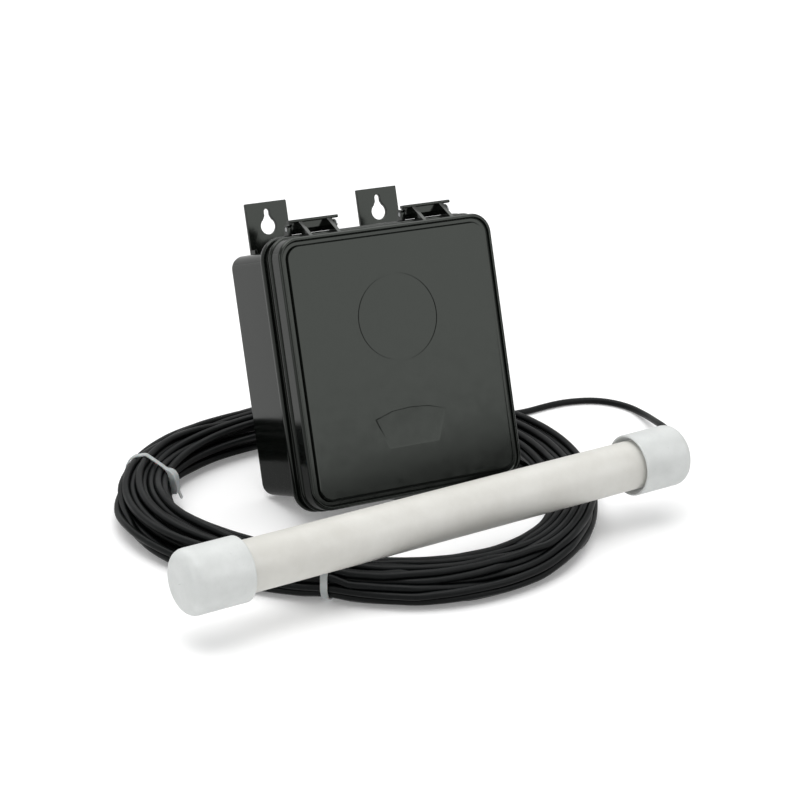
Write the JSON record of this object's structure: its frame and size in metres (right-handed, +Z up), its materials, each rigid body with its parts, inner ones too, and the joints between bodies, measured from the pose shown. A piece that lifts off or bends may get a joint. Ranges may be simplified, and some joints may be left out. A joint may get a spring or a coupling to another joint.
{
  "type": "vehicle detection probe kit",
  "caption": "Wall-hung transmitter case with a hinged lid, joined by a long coiled burial cable to a capped pipe probe that senses passing vehicles.",
  "frame": {"origin": "on the floor, under the middle of the box that holds the case and the probe", "axes": "+X along the case's width and nearly along the probe, from the blind cap to the cable's cap; +Z up; the case's lid faces -Y and leans back towards +Y"},
  "size_m": [0.4782, 0.36, 0.2034],
  "materials": {
    "case_plastic": "glossy, faintly rippled",
    "gasket_rubber": "matt foam rubber",
    "pin_steel": "drawn wire",
    "bushing_plastic": "satin",
    "cable_jacket": "soft sheen",
    "tie_nylon": "translucent satin",
    "pipe_plastic": "satin",
    "cap_plastic": "satin",
    "board_laminate": "solder mask",
    "chip_plastic": "moulded",
    "tinned_metal": "satin",
    "copper": "bright wire",
    "capacitor_sleeve": "printed sleeve, blank",
    "terminal_plastic": "moulded",
    "switch_red": "moulded",
    "lever_white": "moulded",
    "trimmer_blue": "moulded",
    "lens_red": "clear tinted",
    "holder_plastic": "moulded",
    "cell_sleeve": "gloss, blank",
    "wire_red": "insulation",
    "wire_black": "insulation",
    "wire_grey": "insulation",
    "core_steel": "annealed",
    "bobbin_plastic": "moulded",
    "foam_grey": "foam"
  },
  "bodies": {
    "root": {"base_housing": "case_plastic", "base_tabs": "case_plastic", "base_hinge_lugs": "case_plastic", "base_bosses": "case_plastic", "lid_gasket": "gasket_rubber", "hinge_pin_left": "pin_steel", "hinge_pin_right": "pin_steel", "cable_bushing": "bushing_plastic", "circuit_board": "board_laminate", "board_screws": "tinned_metal", "radio_module": "tinned_metal", "antenna": "copper", "microcontroller": "chip_plastic", "board_capacitors": "capacitor_sleeve", "terminal_block": "terminal_plastic", "terminal_screws": "tinned_metal", "power_switch_body": "tinned_metal", "dip_switch_body": "switch_red", "trimmer_body": "trimmer_blue", "status_led": "lens_red", "battery_holder": "holder_plastic", "battery_springs": "tinned_metal", "battery_contacts": "tinned_metal", "battery_1": "cell_sleeve", "battery_2": "cell_sleeve", "battery_3": "cell_sleeve", "battery_lead_red": "wire_red", "battery_lead_black": "wire_black", "cable_inner": "cable_jacket", "conductors": "wire_grey", "cable_box_lead": "cable_jacket", "cable_coil": "cable_jacket", "cable_probe_lead": "cable_jacket", "cable_tie_left": "tie_nylon", "cable_tie_front": "tie_nylon", "probe_tube": "pipe_plastic", "probe_cap_blind": "cap_plastic", "probe_cap_cable": "cap_plastic", "probe_cable_seal": "bushing_plastic", "sensor_core": "core_steel", "sensor_bobbin": "bobbin_plastic", "sensor_winding": "copper", "centring_disc_near": "foam_grey", "centring_disc_far": "foam_grey", "amplifier_board": "board_laminate", "amplifier_chip": "chip_plastic", "probe_cable_clamp": "cable_jacket"},
    "lid": {"lid": "case_plastic"},
    "power_slider": {"power_switch_slider": "chip_plastic"},
    "code_lever_1": {"dip_lever_1": "lever_white"},
    "code_lever_2": {"dip_lever_2": "lever_white"},
    "code_lever_3": {"dip_lever_3": "lever_white"},
    "code_lever_4": {"dip_lever_4": "lever_white"},
    "code_lever_5": {"dip_lever_5": "lever_white"},
    "code_lever_6": {"dip_lever_6": "lever_white"},
    "code_lever_7": {"dip_lever_7": "lever_white"},
    "code_lever_8": {"dip_lever_8": "lever_white"},
    "trimmer": {"trimmer_rotor": "lever_white"}
  },
  "joints": [
    {"name": "lid_hinge", "type": "hinge", "parent": "root", "child": "lid", "pos_m": [0.0285, 0.06819, 0.19563], "axis": [-1, 0, 0], "range_deg": [0, 120]},
    {"name": "power_slide", "type": "slide", "parent": "root", "child": "power_slider", "axis": [1, 0, 0], "range_m": [0, 0.0022]},
    {"name": "code_slide_1", "type": "slide", "parent": "root", "child": "code_lever_1", "axis": [0, 0.2957, 0.9553], "range_m": [0, 0.0016]},
    {"name": "code_slide_2", "type": "slide", "parent": "root", "child": "code_lever_2", "axis": [0, 0.2957, 0.9553], "range_m": [0, 0.0016]},
    {"name": "code_slide_3", "type": "slide", "parent": "root", "child": "code_lever_3", "axis": [0, 0.2957, 0.9553], "range_m": [0, 0.0016]},
    {"name": "code_slide_4", "type": "slide", "parent": "root", "child": "code_lever_4", "axis": [0, 0.2957, 0.9553], "range_m": [0, 0.0016]},
    {"name": "code_slide_5", "type": "slide", "parent": "root", "child": "code_lever_5", "axis": [0, 0.2957, 0.9553], "range_m": [0, 0.0016]},
    {"name": "code_slide_6", "type": "slide", "parent": "root", "child": "code_lever_6", "axis": [0, 0.2957, 0.9553], "range_m": [0, 0.0016]},
    {"name": "code_slide_7", "type": "slide", "parent": "root", "child": "code_lever_7", "axis": [0, 0.2957, 0.9553], "range_m": [0, 0.0016]},
    {"name": "code_slide_8", "type": "slide", "parent": "root", "child": "code_lever_8", "axis": [0, 0.2957, 0.9553], "range_m": [0, 0.0016]},
    {"name": "trimmer_turn", "type": "hinge", "parent": "root", "child": "trimmer", "pos_m": [0.0405, 0.08819, 0.06748], "axis": [0, -0.9553, 0.2957], "range_deg": [-135, 135]}
  ]
}
